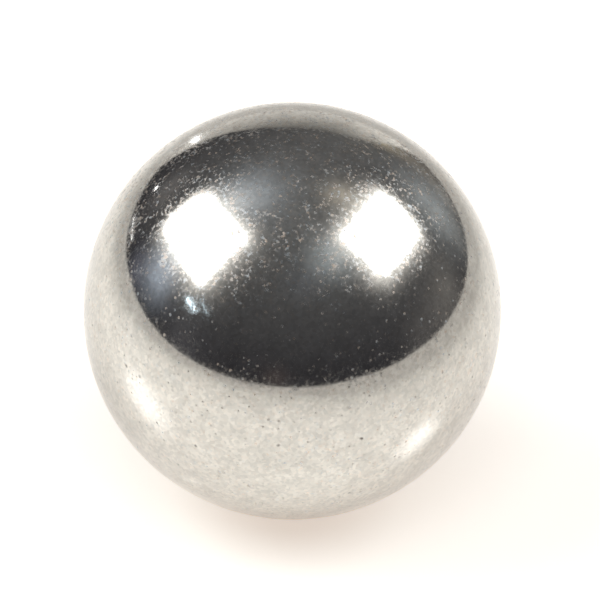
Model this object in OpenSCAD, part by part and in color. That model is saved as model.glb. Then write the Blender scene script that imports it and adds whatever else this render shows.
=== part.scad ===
// Loose steel ball: one solid sphere with the origin at its centre, +Z up.
// It has no flat, hole or seam, so any line through the centre is an axis of symmetry.

/* [Ball] */
// Diameter of the ball
ball_d = 10; // [1:0.5:60]

/* [Hidden] */

// Smoothness of the drawn sphere
ball_facets = 128;

// The ball, ground and polished from one piece of steel
module ball() {
    color([0.60, 0.59, 0.57])
        sphere(d = ball_d, $fn = ball_facets);
}

ball();
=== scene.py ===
import math

import bmesh
import bpy
from mathutils import Matrix, Vector


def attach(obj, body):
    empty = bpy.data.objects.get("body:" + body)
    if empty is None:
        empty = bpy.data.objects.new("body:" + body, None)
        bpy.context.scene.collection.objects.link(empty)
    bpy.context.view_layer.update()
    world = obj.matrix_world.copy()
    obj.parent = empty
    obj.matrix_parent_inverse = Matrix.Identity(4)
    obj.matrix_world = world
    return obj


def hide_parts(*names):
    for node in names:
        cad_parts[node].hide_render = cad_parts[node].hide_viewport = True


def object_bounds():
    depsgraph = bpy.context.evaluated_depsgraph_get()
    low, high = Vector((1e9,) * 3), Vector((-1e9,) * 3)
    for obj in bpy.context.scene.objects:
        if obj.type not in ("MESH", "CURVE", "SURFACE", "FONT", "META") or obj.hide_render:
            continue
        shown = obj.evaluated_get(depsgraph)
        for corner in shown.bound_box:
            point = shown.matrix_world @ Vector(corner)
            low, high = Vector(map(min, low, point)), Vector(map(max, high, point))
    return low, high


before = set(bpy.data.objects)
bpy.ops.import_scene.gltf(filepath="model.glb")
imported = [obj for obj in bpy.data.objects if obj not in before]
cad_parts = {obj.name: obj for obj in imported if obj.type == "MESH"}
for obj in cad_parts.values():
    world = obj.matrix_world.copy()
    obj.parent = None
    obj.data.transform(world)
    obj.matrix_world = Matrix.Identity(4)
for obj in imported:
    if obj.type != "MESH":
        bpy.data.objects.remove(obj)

cadLow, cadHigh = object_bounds()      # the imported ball, before anything stands for it
ballRadius = (cadHigh.z - cadLow.z) / 2
floorHeight = cadLow.z             # the sheet touches the ball at its lowest point
print("frame loaded, ball diameter", round(ballRadius * 2000, 3), "mm")


# node shorthand

def addNode(tree, kind, **settings):
    node = tree.nodes.new(kind)
    for name, value in settings.items():
        setattr(node, name, value)
    return node


def wire(tree, source, target):
    tree.links.new(source, target)


def calc(tree, operation, first, second=None, third=None):
    node = addNode(tree, "ShaderNodeMath", operation=operation)
    for index, value in enumerate((first, second, third)):
        if value is None:
            continue
        if isinstance(value, (int, float)):
            node.inputs[index].default_value = value
        else:
            wire(tree, value, node.inputs[index])
    return node.outputs[0]


def vectorCalc(tree, operation, first, second=None, scale=None):
    node = addNode(tree, "ShaderNodeVectorMath", operation=operation)
    for index, value in enumerate((first, second)):
        if value is None:
            continue
        if isinstance(value, (tuple, Vector)):
            node.inputs[index].default_value = value
        else:
            wire(tree, value, node.inputs[index])
    if scale is not None:
        if isinstance(scale, (int, float)):
            node.inputs["Scale"].default_value = scale
        else:
            wire(tree, scale, node.inputs["Scale"])
    return node.outputs["Value"] if operation in ("DOT_PRODUCT", "LENGTH") else node.outputs[0]


def remap(tree, value, fromLow, fromHigh, toLow, toHigh, kind="LINEAR"):
    node = addNode(tree, "ShaderNodeMapRange", interpolation_type=kind, clamp=True)
    wire(tree, value, node.inputs["Value"])
    limits = {"From Min": fromLow, "From Max": fromHigh, "To Min": toLow, "To Max": toHigh}
    for name, number in limits.items():
        node.inputs[name].default_value = number
    return node.outputs["Result"]


def blendColor(tree, factor, first, second, mode="MIX"):
    node = addNode(tree, "ShaderNodeMix", data_type="RGBA", blend_type=mode)
    for index, value in ((0, factor), (6, first), (7, second)):      # the sockets of its colour form
        if isinstance(value, (int, float, tuple)):
            node.inputs[index].default_value = value
        else:
            wire(tree, value, node.inputs[index])
    return node.outputs[2]


# the polished steel

steelFinish = {
    "color": (0.590, 0.575, 0.538, 1),      # bare steel
    "mottle": 0.080,                        # how far its tone wanders in slow patches
    "mottleSize": 0.40e-3,                  # m, as all sizes here
    "mottleNoise": (0.3, 0.7),              # the part of the noise that the wander uses
    "fineMottle": 0.095,                    # and from grain to grain
    "polish": 0.050,                        # roughness of the best polished grains
    "polishSpread": 0.040,                  # and what the others add to it
    "grainSize": 0.100e-3,                  # spacing of the single dull grains
    "grainCore": 0.12,                      # within this share of its cell a grain is full,
    "grainEdge": 0.62,                      # and beyond this one it is gone
    "fineGrainSize": 0.079e-3,
    "ragged": 0.10,                         # how far the outlines of grains and spots wander
    "raggedNoise": (0.3, 0.7),
    "patchSize": 0.200e-3,                  # patches in which the fine grains are duller
    "patchNoise": (0.36, 0.64),
    "patchShare": (0.35, 1.30),
    "wearAxis": (-0.14, 0.12, 1.0),         # the fine grains are thickest round this side of the ball
    "wearFrom": 0.42,                       # and thin out between these heights along it, ball radii
    "wearTo": 0.68,
    "lowWear": 0.30,                        # to this share
    "specksFrom": 0.30,                     # specks and pits lie below this height,
    "specksFull": 0.18,                     # and are at their full number below this one
    "waviness": 0.003,                      # slope of every grain
    "grainRoughness": 0.34,                 # what the dullest grains add
    "fineGrainRoughness": 0.42,
    "rareness": 4.6,                        # how few grains are so dull
    "fineFrom": 0.42,                       # the fine noise, from polish to all of its haze
    "fineTo": 0.84,
    "warmTint": (0.630, 0.515, 0.420, 1),   # the two shades between which haze and grains wander
    "coolTint": (0.505, 0.550, 0.578, 1),
    "spotCore": 0.14,                       # the same for specks and pits
    "spotEdge": 0.36,
    "spotFaintest": 0.4,
    "speckSize": 0.120e-3,                  # spacing of the specks
    "speckShare": 0.150,                    # share of the cells that hold one, on the lower half
    "speckRoughness": 0.45,
    "speckColor": (0.400, 0.380, 0.350, 1),
    "pitSize": 0.16e-3,                     # spacing of the dark pits
    "pitShare": 0.014,
    "pitColor": (0.190, 0.180, 0.165, 1),
    "cloudSize": 1.1e-3,                    # patches with more and with fewer grains
    "cloudNoise": (0.35, 0.65),
    "crowding": (0.75, 1.20),
    "hairlineSpacing": 2.4e-3,
    "hairlineWidth": 0.0035,                # in the noise, whose middle value draws the line
    "hairlineKept": (0.52, 0.60),           # the noise that breaks it, from nothing to all of it
    "hairlineRoughness": 0.12,
    "edgeTint": 0.90,                       # its brightness at the very edge of view
}

noiseShift = {                              # keeps the noises apart from each other, m
    "grains": (0.011, 0.003, 0.007),
    "fineGrains": (0.002, 0.013, 0.005),
    "specks": (0.006, 0.001, 0.015),
    "pits": (0.014, 0.008, 0.002),
    "crowding": (0.0, 0.0, 0.0),
    "ragged": (0.001, 0.007, 0.003),
    "hairline": (0.003, 0.017, 0.009),
    "hairlineKept": (0.008, 0.002, 0.019),
    "patches": (0.010, 0.012, 0.018),
    "fine": (0.004, 0.019, 0.011),
    "mottle": (0.013, 0.006, 0.001),
}


def makePolishedSteel():
    finish = steelFinish
    material = bpy.data.materials.new("polishedSteel")
    material.use_nodes = True
    tree = material.node_tree
    shader = tree.nodes["Principled BSDF"]
    place = addNode(tree, "ShaderNodeTexCoord").outputs["Object"]

    def cells(size, shift):
        # one grain or spot to a cell, with three chances that belong to it
        node = addNode(tree, "ShaderNodeTexVoronoi", feature="F1")
        node.inputs["Scale"].default_value = 1 / size
        wire(tree, vectorCalc(tree, "ADD", place, noiseShift[shift]), node.inputs["Vector"])
        chance = addNode(tree, "ShaderNodeSeparateColor")
        wire(tree, node.outputs["Color"], chance.inputs[0])
        return node, chance.outputs

    def clouds(size, detail, shift):
        node = addNode(tree, "ShaderNodeTexNoise")
        node.inputs["Scale"].default_value = 1 / size
        node.inputs["Detail"].default_value = detail
        wire(tree, vectorCalc(tree, "ADD", place, noiseShift[shift]), node.inputs["Vector"])
        return node.outputs[0]

    grains, grainChance = cells(finish["grainSize"], "grains")
    fineGrains, fineChance = cells(finish["fineGrainSize"], "fineGrains")
    specks, speckChance = cells(finish["speckSize"], "specks")
    pits, pitChance = cells(finish["pitSize"], "pits")
    climb = vectorCalc(tree, "DOT_PRODUCT", place, finish["wearAxis"])
    climb = calc(tree, "DIVIDE", climb, ballRadius)
    worn = remap(tree, climb, finish["wearFrom"], finish["wearTo"], finish["lowWear"], 1, "SMOOTHSTEP")
    lowSide = remap(tree, climb, finish["specksFull"], finish["specksFrom"], 1, 0)
    crowding = remap(tree, clouds(finish["cloudSize"], 3.0, "crowding"), *finish["cloudNoise"],
                     *finish["crowding"])
    ragged = remap(tree, clouds(finish["fineGrainSize"], 2.0, "ragged"), *finish["raggedNoise"],
                   -finish["ragged"], finish["ragged"])

    def spots(node, chance, fading, share):
        # ragged spots in a share of the cells of the lower side, with soft edges, some fainter than others
        likely = calc(tree, "MULTIPLY", calc(tree, "MULTIPLY", crowding, lowSide), share)
        picked = calc(tree, "LESS_THAN", chance, likely)
        away = calc(tree, "ADD", node.outputs["Distance"], ragged)
        near = remap(tree, away, finish["spotCore"], finish["spotEdge"], 1, 0)
        faint = remap(tree, fading, 0, 1, finish["spotFaintest"], 1)
        return calc(tree, "MULTIPLY", calc(tree, "MULTIPLY", picked, near), faint)

    def dullGrains(node, chance, most):
        # a soft round grain in each cell, few of them strong
        away = calc(tree, "ADD", node.outputs["Distance"], ragged)
        near = remap(tree, away, finish["grainCore"], finish["grainEdge"], 1, 0, "SMOOTHSTEP")
        strong = calc(tree, "MULTIPLY", calc(tree, "POWER", chance, finish["rareness"]), most)
        return calc(tree, "MULTIPLY", near, strong)

    # hairline scratches: broken contour lines of a slow noise
    slow = clouds(finish["hairlineSpacing"], 1.0, "hairline")
    offLine = calc(tree, "ABSOLUTE", calc(tree, "SUBTRACT", slow, 0.5))
    onLine = remap(tree, offLine, finish["hairlineWidth"] / 3, finish["hairlineWidth"], 1, 0)
    kept = remap(tree, clouds(finish["cloudSize"], 1.0, "hairlineKept"), *finish["hairlineKept"], 0, 1)
    hairline = calc(tree, "MULTIPLY", onLine, kept)

    # roughness: polished, with dull grains, hairlines and specks
    coarse = dullGrains(grains, grainChance[0], finish["grainRoughness"])
    patchy = remap(tree, clouds(finish["patchSize"], 2.0, "patches"), *finish["patchNoise"],
                   *finish["patchShare"])
    fine = remap(tree, clouds(finish["fineGrainSize"], 1.0, "fine"), finish["fineFrom"], finish["fineTo"],
                 0, finish["fineGrainRoughness"])
    fine = calc(tree, "MULTIPLY", calc(tree, "MULTIPLY", fine, patchy), worn)
    dullness = calc(tree, "MULTIPLY", calc(tree, "MAXIMUM", coarse, fine), crowding)
    dullness = calc(tree, "MULTIPLY_ADD", hairline, finish["hairlineRoughness"], dullness)
    polish = calc(tree, "MULTIPLY_ADD", grainChance[1], finish["polishSpread"], finish["polish"])
    roughness = calc(tree, "ADD", polish, dullness)
    speck = spots(specks, speckChance[0], speckChance[1], finish["speckShare"])
    pit = spots(pits, pitChance[0], pitChance[1], finish["pitShare"])
    spotted = calc(tree, "MAXIMUM", speck, pit)
    spotHaze = calc(tree, "MULTIPLY", spotted, finish["speckRoughness"])
    wire(tree, calc(tree, "MAXIMUM", roughness, spotHaze), shader.inputs["Roughness"])

    # slopes: every grain leans a little
    normal = addNode(tree, "ShaderNodeNewGeometry").outputs["Normal"]
    centred = vectorCalc(tree, "SUBTRACT", grains.outputs["Color"], (0.5, 0.5, 0.5))
    fineCentred = vectorCalc(tree, "SUBTRACT", fineGrains.outputs["Color"], (0.5, 0.5, 0.5))
    bothLean = vectorCalc(tree, "ADD", centred, fineCentred)
    leaned = vectorCalc(tree, "SCALE", bothLean, scale=finish["waviness"])
    tilted = vectorCalc(tree, "ADD", normal, leaned)
    wire(tree, vectorCalc(tree, "NORMALIZE", tilted), shader.inputs["Normal"])

    # colour: a tone mottled in slow and in fine patches, darker specks and pits
    slowTone = remap(tree, clouds(finish["mottleSize"], 4.0, "mottle"), *finish["mottleNoise"],
                     1 - finish["mottle"], 1 + finish["mottle"])
    fineTone = remap(tree, fineChance[2], 0, 1, 1 - finish["fineMottle"], 1 + finish["fineMottle"])
    tint = blendColor(tree, fineChance[1], finish["coolTint"], finish["warmTint"])
    haze = remap(tree, dullness, 0, finish["grainRoughness"], 0, 1)
    color = blendColor(tree, haze, finish["color"], tint)
    color = vectorCalc(tree, "SCALE", color, scale=calc(tree, "MULTIPLY", slowTone, fineTone))
    color = blendColor(tree, speck, color, finish["speckColor"])
    color = blendColor(tree, pit, color, finish["pitColor"])
    wire(tree, color, shader.inputs["Base Color"])
    shader.inputs["Metallic"].default_value = 1.0
    edge = finish["edgeTint"]
    shader.inputs["Specular Tint"].default_value = (edge, edge, edge, 1)
    print("polished steel mixed,", len(tree.nodes), "nodes")
    return material


# the ball: a cube's grid pushed out to a sphere, so that its cells stay nearly square

steelBall = {
    "diameter": ballRadius * 2,
    "cellsPerSide": 96,
}


def makeBallTree():
    tree = bpy.data.node_groups.new("ballFromCube", "GeometryNodeTree")
    face = tree.interface
    face.new_socket("Geometry", in_out="INPUT", socket_type="NodeSocketGeometry")
    face.new_socket("Diameter", in_out="INPUT", socket_type="NodeSocketFloat")
    face.new_socket("Cells per side", in_out="INPUT", socket_type="NodeSocketInt")
    face.new_socket("Finish", in_out="INPUT", socket_type="NodeSocketMaterial")
    face.new_socket("Geometry", in_out="OUTPUT", socket_type="NodeSocketGeometry")
    given = addNode(tree, "NodeGroupInput")
    result = addNode(tree, "NodeGroupOutput")

    cube = addNode(tree, "GeometryNodeMeshCube")
    cube.inputs["Size"].default_value = (2, 2, 2)
    corners = calc(tree, "ADD", given.outputs["Cells per side"], 1)
    for side in ("Vertices X", "Vertices Y", "Vertices Z"):
        wire(tree, corners, cube.inputs[side])

    # evening the grid out before it is rounded
    where = addNode(tree, "GeometryNodeInputPosition").outputs[0]
    asAngle = vectorCalc(tree, "SCALE", where, scale=math.pi / 4)
    evened = vectorCalc(tree, "TANGENT", asAngle)
    outward = vectorCalc(tree, "NORMALIZE", evened)
    radius = calc(tree, "MULTIPLY", given.outputs["Diameter"], 0.5)
    onSphere = vectorCalc(tree, "SCALE", outward, scale=radius)

    rounded = addNode(tree, "GeometryNodeSetPosition")
    wire(tree, cube.outputs["Mesh"], rounded.inputs["Geometry"])
    wire(tree, onSphere, rounded.inputs["Position"])
    smooth = addNode(tree, "GeometryNodeSetShadeSmooth")
    wire(tree, rounded.outputs[0], smooth.inputs["Geometry"])
    finished = addNode(tree, "GeometryNodeSetMaterial")
    wire(tree, smooth.outputs[0], finished.inputs["Geometry"])
    wire(tree, given.outputs["Finish"], finished.inputs["Material"])
    wire(tree, finished.outputs[0], result.inputs[0])
    return tree


def makeSteelBall(finish):
    tree = makeBallTree()
    blank = bpy.data.meshes.new("blank")
    holder = bpy.data.objects.new("ballHolder", blank)
    bpy.context.scene.collection.objects.link(holder)
    maker = holder.modifiers.new("ballFromCube", "NODES")
    maker.node_group = tree
    given = {
        "Diameter": steelBall["diameter"],
        "Cells per side": steelBall["cellsPerSide"],
        "Finish": finish,
    }
    for item in tree.interface.items_tree:
        if item.in_out == "INPUT" and item.name in given:
            maker[item.identifier] = given[item.name]
    bpy.context.view_layer.update()
    evaluated = holder.evaluated_get(bpy.context.evaluated_depsgraph_get())
    mesh = bpy.data.meshes.new_from_object(evaluated)
    holder.modifiers.remove(maker)
    bpy.data.objects.remove(holder)
    bpy.data.meshes.remove(blank)
    mesh.name = "steelBall"
    ball = bpy.data.objects.new("steelBall", mesh)
    bpy.context.scene.collection.objects.link(ball)
    print("steel ball made,", len(mesh.polygons), "faces")
    return ball


# directions round the ball: azimuth from the front towards +X, height above the horizon, degrees

def towards(azimuth, height):
    a, e = math.radians(azimuth), math.radians(height)
    return Vector((math.sin(a) * math.cos(e), -math.cos(a) * math.cos(e), math.sin(e)))


def makeStagePiece(name, points, material, seenByCamera=False):
    mesh = bpy.data.meshes.new(name)
    mesh.from_pydata(points, [], [tuple(range(len(points)))])
    mesh.materials.append(material)
    piece = bpy.data.objects.new(name, mesh)
    bpy.context.scene.collection.objects.link(piece)
    piece.visible_camera = seenByCamera
    return piece


def makeGlow(name, brightness, color=(1, 1, 1, 1)):
    material = bpy.data.materials.new(name)
    material.use_nodes = True
    tree = material.node_tree
    tree.nodes.clear()
    glow = addNode(tree, "ShaderNodeEmission")
    glow.inputs["Color"].default_value = color
    glow.inputs["Strength"].default_value = brightness
    output = addNode(tree, "ShaderNodeOutputMaterial")
    wire(tree, glow.outputs[0], output.inputs[0])
    return material


def softSpot(tree, facing, spread):
    # 1 where it faces straight, fading smoothly within some degrees
    width = 1 - math.cos(math.radians(spread))
    power = calc(tree, "DIVIDE", calc(tree, "SUBTRACT", facing, 1.0), width)
    return calc(tree, "EXPONENT", power)


# the white sheet under the ball, cut as its edge shows in the steel

whiteSheet = {
    "color": (0.78, 0.77, 0.735, 1),
    "lift": 0.50,                   # white added where it is seen, so that the background stays white
    "farLift": 1.30,                # the same far from the ball, where its edge meets the background
    "farFrom": 0.020,
    "farTo": 0.060,
    "liftInSteel": 0.575,
    "liftColor": (1.0, 0.867, 0.780, 1),
    "gloss": 0.100,                 # share and roughness of its gloss, which the steel shows
    "glossRoughness": 0.12,
    "brightCentre": (-0.005, 0.003, 0.0),
    "brightRadius": 0.016,          # a painted pool of light: from here out it fades in the steel
    "fadeRadius": 0.045,
    "fade": 0.55,
    "shadeCentre": (-0.0066, 0.0006, 0.0),  # a faint shadow at the ball's left side
    "shadeRadius": 0.0045,
    "shade": 0.10,
    "corners": [                    # mm, from above
        (-230, 40), (-85, -30), (0, -66), (75, -95), (220, -70),
        (200, 30), (90, 140), (90, 260), (-90, 260), (-130, 180),
    ],
}


def makeSheetFinish():
    sheet = whiteSheet
    material = bpy.data.materials.new("whiteSheet")
    material.use_nodes = True
    tree = material.node_tree
    shader = tree.nodes["Principled BSDF"]
    shader.inputs["Specular IOR Level"].default_value = 0.0
    path = addNode(tree, "ShaderNodeLightPath")
    place = addNode(tree, "ShaderNodeTexCoord").outputs["Object"]
    flat = vectorCalc(tree, "MULTIPLY", place, (1.0, 1.0, 0.0))
    away = vectorCalc(tree, "LENGTH", vectorCalc(tree, "SUBTRACT", flat, sheet["brightCentre"]))
    # painted light: a pool of light round brightCentre that fades outwards where the steel shows the sheet,
    # times a painted shadow at the ball's left side
    paintedLightAndShade = remap(tree, away, sheet["brightRadius"], sheet["fadeRadius"], 1.0, sheet["fade"])
    fromShade = vectorCalc(tree, "LENGTH", vectorCalc(tree, "SUBTRACT", flat, sheet["shadeCentre"]))
    shaded = remap(tree, fromShade, 0.0, sheet["shadeRadius"], 1 - sheet["shade"], 1.0, "SMOOTHSTEP")
    paintedLightAndShade = calc(tree, "MULTIPLY", paintedLightAndShade, shaded)
    inSteel = calc(tree, "MULTIPLY", path.outputs["Is Glossy Ray"], paintedLightAndShade)
    seen = calc(tree, "MAXIMUM", path.outputs["Is Camera Ray"], path.outputs["Is Transmission Ray"])
    plain = remap(tree, away, sheet["farFrom"], sheet["farTo"], sheet["lift"], sheet["farLift"])
    lift = calc(tree, "MAXIMUM", calc(tree, "MULTIPLY", seen, plain),
                calc(tree, "MULTIPLY", inSteel, sheet["liftInSteel"]))
    shader.inputs["Emission Color"].default_value = sheet["liftColor"]
    wire(tree, lift, shader.inputs["Emission Strength"])
    # painted shade: away from the pool the sheet's colour darkens, for every ray but the camera's
    notCamera = calc(tree, "SUBTRACT", 1.0, path.outputs["Is Camera Ray"])
    dimming = calc(tree, "MULTIPLY", notCamera, calc(tree, "SUBTRACT", 1.0, paintedLightAndShade))
    wire(tree, blendColor(tree, dimming, sheet["color"], (0, 0, 0, 1)), shader.inputs["Base Color"])

    # its gloss shows in the steel, straight from above it looks matte
    gloss = addNode(tree, "ShaderNodeBsdfGlossy")
    gloss.inputs["Roughness"].default_value = sheet["glossRoughness"]
    both = addNode(tree, "ShaderNodeMixShader")
    wire(tree, calc(tree, "MULTIPLY", path.outputs["Is Glossy Ray"], sheet["gloss"]), both.inputs[0])
    wire(tree, shader.outputs[0], both.inputs[1])
    wire(tree, gloss.outputs[0], both.inputs[2])
    wire(tree, both.outputs[0], tree.nodes["Material Output"].inputs["Surface"])
    return material


def makeWhiteSheet():
    corners = [(x / 1000, y / 1000, floorHeight) for x, y in whiteSheet["corners"]]
    return makeStagePiece("whiteSheet", corners, makeSheetFinish(), seenByCamera=True)


# a pale card standing behind the ball, which shows as the grey band at its top. It is no lamp but glows,
# its painted light dimmer towards its top and brighter to the right

backCard = {
    "away": 0.250,
    "outline": [         # mm, across and up
        (97, -5), (90, 27), (87, 53), (76, 97), (36, 113), (-28, 112), (-74, 84), (-120, 38), (-150, -5),
    ],
    "foot": 0.94,        # brightness at its foot and at its top
    "top": 0.20,
    "height": 0.114,
    "rightFrom": 0.030,  # across here it grows brighter, to the right
    "rightTo": 0.080,
    "right": 1.30,
    "color": (1.0, 0.97, 0.92, 1),
}


def makeBackCard():
    card = backCard
    material = makeGlow("backCard", 1.0, card["color"])
    tree = material.node_tree
    place = addNode(tree, "ShaderNodeTexCoord").outputs["Object"]
    split = addNode(tree, "ShaderNodeSeparateXYZ")
    wire(tree, place, split.inputs[0])
    # painted light: the card's glow dims from its foot to its top and grows brighter to the right
    climb = remap(tree, split.outputs[2], floorHeight, card["height"], card["foot"], card["top"])
    side = remap(tree, split.outputs[0], card["rightFrom"], card["rightTo"], 1.0, card["right"])
    wire(tree, calc(tree, "MULTIPLY", climb, side), tree.nodes["Emission"].inputs["Strength"])
    points = [(x / 1000, card["away"], z / 1000) for x, z in card["outline"]]
    return makeStagePiece("backCard", points, material)


# two soft lamps, left and right, as the bright diamonds in the steel show them. Azimuth and height
# place a lamp and the aim turns it. Throw lights the sheet, cloth is what the steel mirrors, spill is
# the faint light round it, and core the bright middle that the sheet's gloss shows.

softLamps = {
    "left": {"azimuth": -99.3, "height": 39.0, "aimAzimuth": -52.0, "aimHeight": 36.6,
             "roll": -6.0, "long": 0.388, "short": 0.205, "corners": (0.030, 0.055, 0.052, 0.014),
             "throw": 4.3, "cloth": 4.0, "spill": 1.35,
             "core": 13.0, "coreAzimuth": -84.8, "coreHeight": 37.6, "coreSpread": 10.0},
    "right": {"azimuth": 102.3, "height": 46.5, "aimAzimuth": 68.5, "aimHeight": 57.7,
              "roll": -1.1, "long": 0.323, "short": 0.196, "corners": (0.022, 0.016, 0.045, 0.036),
              "throw": 2.5, "cloth": 4.6, "spill": 1.75,
              "core": 14.5, "coreAzimuth": 89.8, "coreHeight": 46.2, "coreSpread": 7.2},
    "distance": 0.400,
    "cornerSteps": 8,
    "dimInSheet": 0.7,      # how much less of the cloth the sheet shows to the steel
    "clothInGloss": 0.4,    # brightness of the cloth as the sheet's gloss shows it
    "spillReach": 0.0245,   # how far the faint light round each lamp reaches, m
    "spillCorner": 0.036,   # and how round it is at the lamps' corners, m
    "leastFacing": 0.05,    # keeps the spill's slopes finite beside and behind a lamp
    "spillColor": (1.0, 0.985, 0.95, 1),
    "throwColor": (0.90, 0.97, 1.0, 1),
}


def lampAxes(lamp):
    out = towards(lamp["aimAzimuth"], lamp["aimHeight"])
    side = Vector((0, 0, 1)).cross(out).normalized()
    up = out.cross(side)
    roll = math.radians(lamp["roll"])
    along = side * math.cos(roll) + up * math.sin(roll)
    across = up * math.cos(roll) - side * math.sin(roll)
    centre = towards(lamp["azimuth"], lamp["height"]) * softLamps["distance"]
    return centre, along, across, out


def lampOutline(lamp):
    centre, along, across = lampAxes(lamp)[:3]
    steps = softLamps["cornerSteps"]
    points = []
    for quarter, corner in enumerate(lamp["corners"]):
        signX = 1 if quarter in (0, 3) else -1
        signY = 1 if quarter in (0, 1) else -1
        for step in range(steps + 1):
            angle = math.radians(90 * (quarter + step / steps))
            x = signX * (lamp["long"] / 2 - corner) + corner * math.cos(angle)
            y = signY * (lamp["short"] / 2 - corner) + corner * math.sin(angle)
            points.append(centre + along * x + across * y)
    return points


def makeSoftLamp(name, lamp):
    # one layer lights the sheet, the other is what the steel mirrors
    points = lampOutline(lamp)
    light = makeGlow(name + "Light", lamp["throw"], softLamps["throwColor"])
    thrower = makeStagePiece(name + "Light", points, light)
    thrower.visible_glossy = False
    thrower.visible_shadow = False
    cloth = makeGlow(name + "Cloth", lamp["cloth"])
    tree = cloth.node_tree
    place = addNode(tree, "ShaderNodeTexCoord").outputs["Object"]
    core = towards(lamp["coreAzimuth"], lamp["coreHeight"])
    facing = vectorCalc(tree, "DOT_PRODUCT", vectorCalc(tree, "NORMALIZE", place), core)
    glow = softSpot(tree, facing, lamp["coreSpread"])
    path = addNode(tree, "ShaderNodeLightPath")
    inGloss = calc(tree, "MULTIPLY_ADD", glow, lamp["core"], softLamps["clothInGloss"])
    deep = remap(tree, path.outputs["Ray Depth"], 1, 2, 0, 1)     # the core shows only in the sheet's gloss
    extra = calc(tree, "SUBTRACT", inGloss, lamp["cloth"])
    strength = calc(tree, "MULTIPLY_ADD", extra, deep, lamp["cloth"])
    bounced = calc(tree, "MINIMUM", path.outputs["Diffuse Depth"], 1.0)
    dimming = calc(tree, "MULTIPLY_ADD", bounced, -softLamps["dimInSheet"], 1.0)
    wire(tree, calc(tree, "MULTIPLY", strength, dimming), tree.nodes["Emission"].inputs["Strength"])
    panel = makeStagePiece(name + "Cloth", points, cloth)
    panel.visible_diffuse = False
    panel.visible_shadow = False
    return panel


# plain soft light from above the front, which the steel doesn't show

topLight = {
    "azimuth": 0.0,
    "height": 66.0,
    "distance": 0.450,
    "width": 0.300,
    "throw": 3.2,
    "color": (0.95, 0.98, 1.0, 1),
}


def makeTopLight():
    light = topLight
    centre = towards(light["azimuth"], light["height"]) * light["distance"]
    side = Vector((0, 0, 1)).cross(centre).normalized() * light["width"] / 2
    up = centre.cross(side).normalized() * light["width"] / 2
    points = [centre - side - up, centre + side - up, centre + side + up, centre - side + up]
    panel = makeStagePiece("topLight", points, makeGlow("topLight", light["throw"], light["color"]))
    panel.visible_glossy = False
    panel.visible_shadow = False
    return panel


def lampSpill(tree, direction, lamp):
    # light round a lamp's edge, fading with the distance from its outline
    centre, along, across, out = lampAxes(lamp)
    facing = vectorCalc(tree, "DOT_PRODUCT", direction, out)
    facing = calc(tree, "MAXIMUM", facing, softLamps["leastFacing"])
    reach = centre.dot(out)
    corner = softLamps["spillCorner"]
    beyond = []
    for axis, size in ((along, lamp["long"]), (across, lamp["short"])):
        slope = calc(tree, "DIVIDE", vectorCalc(tree, "DOT_PRODUCT", direction, axis), facing)
        place = calc(tree, "MULTIPLY_ADD", slope, reach, -centre.dot(axis))
        past = calc(tree, "SUBTRACT", calc(tree, "ABSOLUTE", place), size / 2 - corner)
        beyond.append(calc(tree, "POWER", calc(tree, "MAXIMUM", past, 0.0), 2.0))
    distance = calc(tree, "SQRT", calc(tree, "ADD", beyond[0], beyond[1]))
    distance = calc(tree, "MAXIMUM", calc(tree, "SUBTRACT", distance, corner), 0.0)
    fading = calc(tree, "EXPONENT", calc(tree, "DIVIDE", distance, -softLamps["spillReach"]))
    return calc(tree, "MULTIPLY", fading, lamp["spill"])


# slits and gaps beside the lamps that show in the steel as short bright strokes

smallGlints = {
    "distance": 0.400,
    "white": (0.97, 0.98, 1.0, 1),
    "bluish": (0.70, 0.87, 1.0, 1),
    "strokes": [          # each from azimuth and height to azimuth and height, width in m
        {"start": (-65.8, 19.3), "end": (-56.9, 17.6), "width": 0.014, "brightness": 4.2,
         "bluish": True},
        {"start": (-58.3, 23.7), "end": (-49.4, 19.6), "width": 0.006, "brightness": 1.7,
         "bluish": True},
        {"start": (-130.0, 0.5), "end": (-118.5, 1.8), "width": 0.004, "brightness": 4.0},
        {"start": (-136.6, 7.6), "end": (-135.7, 7.6), "width": 0.008, "brightness": 11.0},
        {"start": (-159.4, -1.6), "end": (-155.8, 4.6), "width": 0.0058, "brightness": 5.4,
         "distance": 0.20},
    ],
}


def makeGlint(name, stroke):
    distance = stroke.get("distance", smallGlints["distance"])
    start = towards(*stroke["start"]) * distance
    end = towards(*stroke["end"]) * distance
    across = (end - start).cross(start + end).normalized() * stroke["width"] / 2
    points = [start - across, end - across, end + across, start + across]
    color = smallGlints["bluish" if stroke.get("bluish") else "white"]
    return makeStagePiece(name, points, makeGlow(name, stroke["brightness"], color))


# the dim room round the lamps, seen only in the steel. It is no lamp but glows, its painted light darker at
# the horizon and lighter overhead

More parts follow.
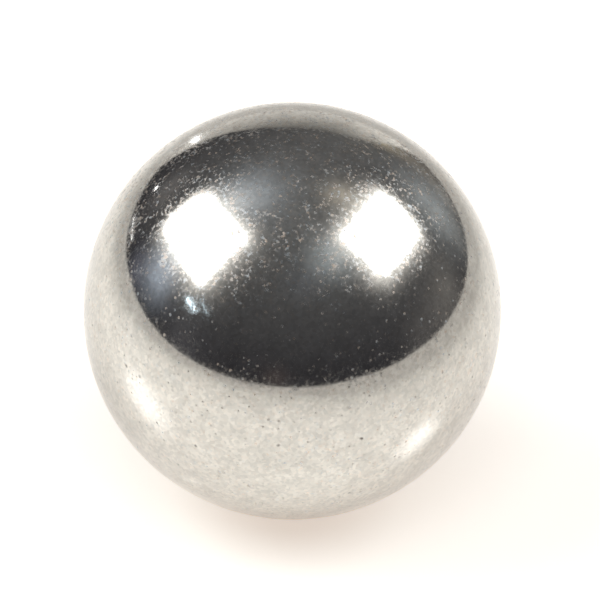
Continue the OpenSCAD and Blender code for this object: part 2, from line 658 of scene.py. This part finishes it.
dimRoom = {
    "radius": 0.60,
    "segments": 64,
    "rings": 32,
    "horizon": (0.045, 0.044, 0.050, 1),
    "overhead": (0.165, 0.168, 0.172, 1),
    "patches": [                     # soft light on its walls beside the lamps, and low down
        {"azimuth": -120, "height": 62, "spread": 16, "color": (0.34, 0.38, 0.425, 1)},
        {"azimuth": -114, "height": 58, "spread": 7, "color": (0.29, 0.30, 0.31, 1)},
        {"azimuth": 132, "height": 65, "spread": 8, "color": (0.37, 0.335, 0.275, 1)},
        {"azimuth": -89, "height": 16, "spread": 11, "color": (0.45, 0.525, 0.64, 1)},
        {"azimuth": 42, "height": 62, "spread": 11, "color": (0.31, 0.36, 0.39, 1)},
        {"azimuth": 133, "height": 17, "spread": 13, "color": (0.35, 0.385, 0.405, 1)},
        {"azimuth": 131, "height": 3, "spread": 8, "color": (0.12, 0.12, 0.115, 1)},
        {"azimuth": 163, "height": 24, "spread": 12, "color": (0.05, 0.05, 0.045, 1)},
        {"azimuth": 154, "height": 5, "spread": 9, "color": (0.17, 0.155, 0.13, 1)},
        {"azimuth": 162, "height": 11, "spread": 5, "color": (0.34, 0.29, 0.19, 1)},
        {"azimuth": 144, "height": 3, "spread": 5, "color": (0.20, 0.20, 0.19, 1)},
        {"azimuth": -131, "height": 17, "spread": 9, "color": (0.110, 0.106, 0.104, 1)},
        {"azimuth": -103, "height": 3, "spread": 8, "color": (0.075, 0.08, 0.11, 1)},
        {"azimuth": 76, "height": 4, "spread": 12, "color": (0.062, 0.059, 0.056, 1)},
        {"azimuth": 100, "height": 7, "spread": 14, "color": (0.140, 0.134, 0.124, 1)},
        {"azimuth": -58, "height": -2, "spread": 14, "color": (0.045, 0.045, 0.050, 1)},
        {"azimuth": -6, "height": -1, "spread": 6, "color": (0.045, 0.032, 0.028, 1)},
        {"azimuth": 8, "height": 52, "spread": 9, "color": (0.026, 0.032, 0.042, 1)},
        {"azimuth": 176, "height": 42, "spread": 28, "color": (0.045, 0.045, 0.045, 1)},
    ],
}


def makeDimRoom():
    room = dimRoom
    material = makeGlow("dimRoom", 1.0)
    tree = material.node_tree
    place = addNode(tree, "ShaderNodeTexCoord").outputs["Object"]
    direction = vectorCalc(tree, "NORMALIZE", place)
    split = addNode(tree, "ShaderNodeSeparateXYZ")
    wire(tree, direction, split.inputs[0])
    # painted light: the glow runs from dark at the horizon to lighter overhead, with soft patches and the
    # lamps' spill added
    height = remap(tree, calc(tree, "ARCSINE", split.outputs[2]), 0.0, math.pi / 2, 0, 1)
    color = blendColor(tree, height, room["horizon"], room["overhead"])
    for patch in room["patches"]:
        middle = towards(patch["azimuth"], patch["height"])
        facing = vectorCalc(tree, "DOT_PRODUCT", direction, middle)
        color = blendColor(tree, softSpot(tree, facing, patch["spread"]), color, patch["color"], "ADD")
    for side in ("left", "right"):
        spill = lampSpill(tree, direction, softLamps[side])
        color = blendColor(tree, spill, color, softLamps["spillColor"], "ADD")
    wire(tree, color, tree.nodes["Emission"].inputs["Color"])

    shape = bmesh.new()
    bmesh.ops.create_uvsphere(shape, u_segments=room["segments"], v_segments=room["rings"],
                              radius=room["radius"])
    mesh = bpy.data.meshes.new("dimRoom")
    shape.to_mesh(mesh)
    shape.free()
    mesh.materials.append(material)
    shell = bpy.data.objects.new("dimRoom", mesh)
    bpy.context.scene.collection.objects.link(shell)
    shell.visible_camera = False


def makeWorld():
    world = bpy.data.worlds.new("whiteSurround")
    bpy.context.scene.world = world
    world.use_nodes = True
    tree = world.node_tree
    back = tree.nodes["Background"]
    path = addNode(tree, "ShaderNodeLightPath")
    seen = calc(tree, "MAXIMUM", path.outputs["Is Camera Ray"], path.outputs["Is Glossy Ray"])
    seen = calc(tree, "MAXIMUM", seen, path.outputs["Is Transmission Ray"])
    back.inputs["Color"].default_value = (1, 1, 1, 1)
    wire(tree, seen, back.inputs["Strength"])


# the camera, at the photograph's angle and framing

cameraSet = {
    "elevation": 36.0,
    "roll": 4.4,             # the photograph is tipped a little, its right side up
    "lens": 300.0,
    "sensor": 36.0,
    "ballCentreX": 292.3,    # where the ball's centre shows, px
    "ballCentreY": 311.0,
    "ballRadius": 209.0,     # and its radius, px
    "frame": 600,            # and the width of the picture, px
    "clipNear": 0.01,        # clipping, in distances of the camera from the ball
    "clipFar": 20.0,
}


def placeCamera():
    shot = cameraSet
    data = bpy.data.cameras.new("camera")
    data.lens = shot["lens"]
    data.sensor_width = shot["sensor"]
    camera = bpy.data.objects.new("camera", data)
    bpy.context.scene.collection.objects.link(camera)
    half = shot["frame"] / 2
    halfSlope = shot["sensor"] / 2 / shot["lens"]
    distance = ballRadius / math.sin(math.atan(shot["ballRadius"] / half * halfSlope))
    back = towards(0, shot["elevation"])
    level = Vector((1, 0, 0))
    upright = back.cross(level)
    roll = math.radians(shot["roll"])
    right = level * math.cos(roll) + upright * math.sin(roll)
    up = upright * math.cos(roll) - level * math.sin(roll)
    pixel = distance * halfSlope / half
    aside = right * (half - shot["ballCentreX"]) * pixel + up * (shot["ballCentreY"] - half) * pixel
    turn = Matrix((right, up, back)).transposed().to_4x4()
    camera.matrix_world = Matrix.Translation(back * distance + aside) @ turn
    data.clip_start = distance * shot["clipNear"]
    data.clip_end = distance * shot["clipFar"]
    bpy.context.scene.camera = camera
    print("camera placed", round(distance, 3), "m from the ball")


placeCamera()
ball = makeSteelBall(makePolishedSteel())
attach(ball, "root")
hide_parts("ball")

makeWhiteSheet()
makeBackCard()
makeSoftLamp("leftLamp", softLamps["left"])
makeSoftLamp("rightLamp", softLamps["right"])
makeTopLight()
for number, stroke in enumerate(smallGlints["strokes"]):
    makeGlint("glint" + str(number + 1), stroke)
makeDimRoom()
makeWorld()
print("studio set")

bpy.context.scene.view_settings.view_transform = "Standard"
